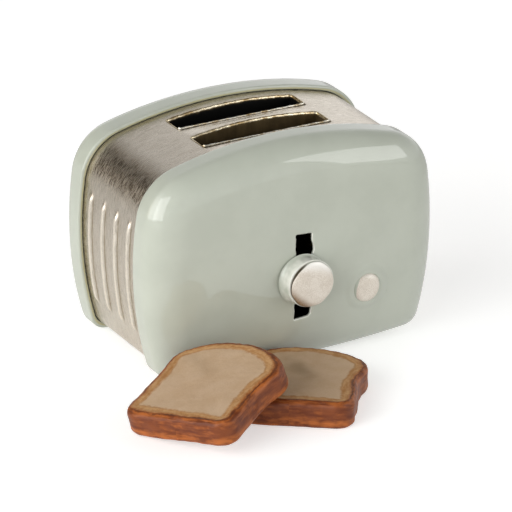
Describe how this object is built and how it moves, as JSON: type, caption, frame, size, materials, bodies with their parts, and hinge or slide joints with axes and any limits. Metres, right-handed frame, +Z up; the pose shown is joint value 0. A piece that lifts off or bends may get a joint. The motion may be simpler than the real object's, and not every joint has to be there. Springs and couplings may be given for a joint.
{
  "type": "toy toaster",
  "caption": "Miniature toy toaster: two painted pressed covers on a brushed steel band with two toast slots, a sliding lever, a push button and loose toy toast slices.",
  "frame": {"origin": "centre of the underside of the base pan, midway between the two covers' rims", "axes": "+Z up, -Y towards the front with the lever, +X to the right seen from the front"},
  "size_m": [0.0736, 0.0709, 0.0452],
  "materials": {
    "mint_enamel": "satin enamel, sage mint",
    "brushed_steel": "brushed along the wrap, clear coated",
    "dark_steel": "tarnished inside, polished at the turned edge",
    "plain_steel": "plain sheet",
    "spring_steel": "bright wire and strip",
    "silver_paint": "satin silver",
    "brass": "turned",
    "toast_resin": "painted cast resin, tan crumb and brown crust"
  },
  "bodies": {
    "toaster": {"front_cover": "mint_enamel", "rear_cover": "mint_enamel", "body_band": "brushed_steel", "front_bread_well": "dark_steel", "rear_bread_well": "dark_steel", "base_plate": "plain_steel", "base_rivets": "plain_steel", "front_cover_clips": "spring_steel", "rear_cover_clips": "spring_steel", "guide_rod_left": "plain_steel", "guide_rod_right": "plain_steel", "button_guide": "plain_steel", "button_spring": "spring_steel"},
    "lever": {"lever_knob": "mint_enamel", "lever_knob_cap": "silver_paint", "lever_bar": "plain_steel", "carriage_plate": "plain_steel", "guide_bushes": "brass", "drag_spring": "spring_steel", "front_bread_shelf": "plain_steel", "rear_bread_shelf": "plain_steel"},
    "button": {"button_cap": "silver_paint", "button_clip": "spring_steel"},
    "toast_left": {"bread_slice_left": "toast_resin"},
    "toast_right": {"bread_slice_right": "toast_resin"}
  },
  "joints": [
    {"name": "lever_slide", "type": "slide", "parent": "toaster", "child": "lever", "axis": [0, 0, 1], "range_m": [-0.007, 0.007]},
    {"name": "button_press", "type": "slide", "parent": "toaster", "child": "button", "axis": [0, 1, 0], "range_m": [0, 0.0008], "stiffness_N_per_m": 250, "springref_m": -0.0004, "deforming": ["button_spring"]},
    {"name": "toast_left_lift", "type": "slide", "parent": "toaster", "child": "toast_left", "axis": [0, 0, 1], "range_m": [0, 0.03]},
    {"name": "toast_right_slide", "type": "slide", "parent": "toaster", "child": "toast_right", "axis": [1, 0, 0], "range_m": [0, 0.03]}
  ]
}
